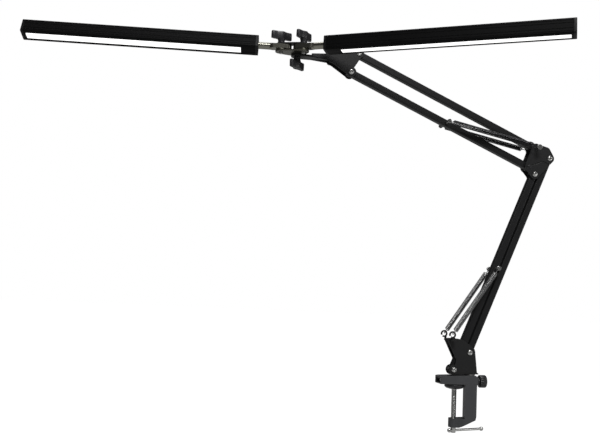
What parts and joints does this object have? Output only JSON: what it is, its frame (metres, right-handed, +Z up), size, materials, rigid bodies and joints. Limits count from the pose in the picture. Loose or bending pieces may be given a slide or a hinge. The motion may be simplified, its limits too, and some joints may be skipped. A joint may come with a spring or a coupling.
{
  "type": "architect desk lamp",
  "caption": "Clamp-on architect desk lamp with a sprung swing arm on parallel links and a pivoting head that carries two square light bars.",
  "frame": {"origin": "on the clamp screw's axis, at the underside of the upper jaw, where it rests on the desk", "axes": "+Z up; +X away from the light bars, from the clamp screw to the clamp's spine; the arms move in the plane Y = 0 at rest"},
  "size_m": [0.8721, 0.3005, 0.6215],
  "materials": {
    "clamp_casting": "charcoal powder coat on die casting",
    "zinc_steel": "bright zinc plate",
    "nylon": "natural nylon",
    "black_plastic": "fine textured moulding",
    "rubber": "matt",
    "black_plate": "satin black powder coat",
    "black_tube": "satin black powder coat",
    "end_plastic": "satin moulding",
    "grey_plate": "dark olive-grey zinc",
    "nickel": "nickel plate",
    "bar_aluminium": "satin black anodised",
    "opal": "opal, lightly diffusing",
    "board": "white solder mask",
    "bright_spring": "bright spring wire",
    "dark_spring": "black oxide spring wire"
  },
  "bodies": {
    "clamp": {"clamp_frame": "clamp_casting", "screw_insert": "zinc_steel", "swivel_bush": "nylon", "jaw_screw": "zinc_steel"},
    "clamp_pad": {"pressure_pad": "black_plastic", "pad_rubber": "rubber"},
    "clamp_screw": {"clamp_screw": "zinc_steel"},
    "tommy_bar": {"tommy_bar": "zinc_steel", "tommy_balls": "zinc_steel"},
    "swivel_lock": {"swivel_lock_knob": "black_plastic", "swivel_lock_screw": "zinc_steel"},
    "arm_base": {"base_bracket": "black_plate", "swivel_pin": "zinc_steel", "base_rivets": "zinc_steel", "base_washers": "nylon"},
    "lower_arm_main": {"lower_main_tube": "black_tube", "lower_main_plugs": "end_plastic", "lower_spring_pin": "zinc_steel", "lower_springs": "bright_spring"},
    "lower_arm_link": {"lower_link_tube": "black_tube", "lower_link_plugs": "end_plastic"},
    "elbow": {"elbow_front_plate": "black_plate", "elbow_rear_plate": "black_plate", "elbow_rivets": "zinc_steel", "elbow_spring_pin": "zinc_steel", "elbow_washers": "nylon"},
    "upper_arm_main": {"upper_main_tube": "black_tube", "upper_main_plugs": "end_plastic"},
    "upper_arm_link": {"upper_link_tube": "black_tube", "upper_link_plugs": "end_plastic", "upper_spring_pin": "zinc_steel", "upper_springs": "dark_spring"},
    "head_bracket": {"head_bracket": "black_plate", "head_rivets": "zinc_steel", "head_washers": "nylon"},
    "lamp_head": {"head_lower_plate": "grey_plate", "head_top_plate": "black_plate"},
    "head_knob": {"head_knob": "black_plastic", "head_knob_screw": "zinc_steel"},
    "left_knob": {"left_knob": "black_plastic", "left_knob_screw": "zinc_steel"},
    "right_knob": {"right_knob": "black_plastic", "right_knob_screw": "zinc_steel"},
    "left_rod": {"left_yoke": "nickel", "left_rod_collar": "zinc_steel"},
    "right_rod": {"right_yoke": "nickel", "right_rod_collar": "zinc_steel"},
    "left_bar": {"left_housing": "bar_aluminium", "left_inner_cap": "end_plastic", "left_outer_cap": "end_plastic", "left_diffuser": "opal", "left_light_board": "board", "left_grommet": "rubber"},
    "right_bar": {"right_housing": "bar_aluminium", "right_inner_cap": "end_plastic", "right_outer_cap": "end_plastic", "right_diffuser": "opal", "right_light_board": "board", "right_grommet": "rubber"}
  },
  "joints": [
    {"name": "base_swivel", "type": "hinge", "parent": "clamp", "child": "arm_base", "pos_m": [0.026, 0, 0.016], "axis": [0, 0, 1], "continuous": true},
    {"name": "lower_lean", "type": "hinge", "parent": "arm_base", "child": "lower_arm_main", "pos_m": [-0.0041, 0, 0.022], "axis": [0, 1, 0], "range_deg": [-60, 3], "deforming": ["lower_springs"]},
    {"name": "lower_link_turn", "type": "hinge", "parent": "arm_base", "child": "lower_arm_link", "pos_m": [0.02201, 0, 0.05029], "axis": [0, 1, 0], "range_deg": [-60, 3]},
    {"name": "elbow_level", "type": "hinge", "parent": "lower_arm_main", "child": "elbow", "pos_m": [0.12814, 0, 0.34606], "axis": [0, 1, 0], "range_deg": [-3, 60]},
    {"name": "upper_lift", "type": "hinge", "parent": "elbow", "child": "upper_arm_main", "pos_m": [0.12964, 0, 0.38965], "axis": [0, 1, 0], "range_deg": [-45, 45], "deforming": ["upper_springs"]},
    {"name": "upper_link_turn", "type": "hinge", "parent": "elbow", "child": "upper_arm_link", "pos_m": [0.11814, 0, 0.35816], "axis": [0, 1, 0], "range_deg": [-45, 45]},
    {"name": "head_level", "type": "hinge", "parent": "upper_arm_main", "child": "head_bracket", "pos_m": [-0.17827, 0, 0.52163], "axis": [0, 1, 0], "range_deg": [-45, 45]},
    {"name": "head_turn", "type": "hinge", "parent": "head_bracket", "child": "lamp_head", "pos_m": [-0.27747, 0, 0.51153], "axis": [0, 0, 1], "range_deg": [-60, 8]},
    {"name": "left_swing", "type": "hinge", "parent": "lamp_head", "child": "left_rod", "pos_m": [-0.30504, -0.00637, 0.52012], "axis": [0, 0, 1], "range_deg": [-40, 90]},
    {"name": "right_swing", "type": "hinge", "parent": "lamp_head", "child": "right_rod", "pos_m": [-0.271, -0.01809, 0.52012], "axis": [0, 0, 1], "range_deg": [-90, 5]},
    {"name": "left_roll", "type": "hinge", "parent": "left_rod", "child": "left_bar", "pos_m": [-0.30504, -0.00637, 0.52012], "axis": [-0.9869, 0.1598, 0.0209], "range_deg": [-110, 110]},
    {"name": "right_roll", "type": "hinge", "parent": "right_rod", "child": "right_bar", "pos_m": [-0.271, -0.01809, 0.52012], "axis": [0.8763, -0.4817, 0.0052], "range_deg": [-110, 110]},
    {"name": "left_knob_turn", "type": "hinge", "parent": "lamp_head", "child": "left_knob", "pos_m": [-0.30504, -0.00637, 0.52012], "axis": [0, 0, 1], "range_deg": [0, 360]},
    {"name": "right_knob_turn", "type": "hinge", "parent": "lamp_head", "child": "right_knob", "pos_m": [-0.271, -0.01809, 0.52012], "axis": [0, 0, 1], "range_deg": [0, 360]},
    {"name": "head_knob_turn", "type": "hinge", "parent": "lamp_head", "child": "head_knob", "pos_m": [-0.27747, 0, 0.51153], "axis": [0, 0, -1], "range_deg": [0, 360]},
    {"name": "swivel_lock_turn", "type": "hinge", "parent": "clamp", "child": "swivel_lock", "pos_m": [0.035, 0, 0.0045], "axis": [1, 0, 0], "range_deg": [0, 540]},
    {"name": "pad_lower", "type": "slide", "parent": "clamp", "child": "clamp_pad", "axis": [0, 0, -1], "range_m": [0, 0.044]},
    {"name": "clamp_screw_turn", "type": "hinge", "parent": "clamp_pad", "child": "clamp_screw", "pos_m": [0, 0, -0.03], "axis": [0, 0, -1], "range_deg": [0, 12600]},
    {"name": "tommy_bar_slide", "type": "slide", "parent": "clamp_screw", "child": "tommy_bar", "axis": [-0.9511, -0.309, 0], "range_m": [0, 0.05]}
  ],
  "couplings": [
    {"joint": "lower_link_turn", "follows": "lower_lean", "ratio": 1},
    {"joint": "elbow_level", "follows": "lower_lean", "ratio": -1},
    {"joint": "upper_link_turn", "follows": "upper_lift", "ratio": 1},
    {"joint": "head_level", "follows": "upper_lift", "ratio": -1},
    {"joint": "pad_lower", "follows": "clamp_screw_turn", "m_per_rad": 0.00019894}
  ]
}
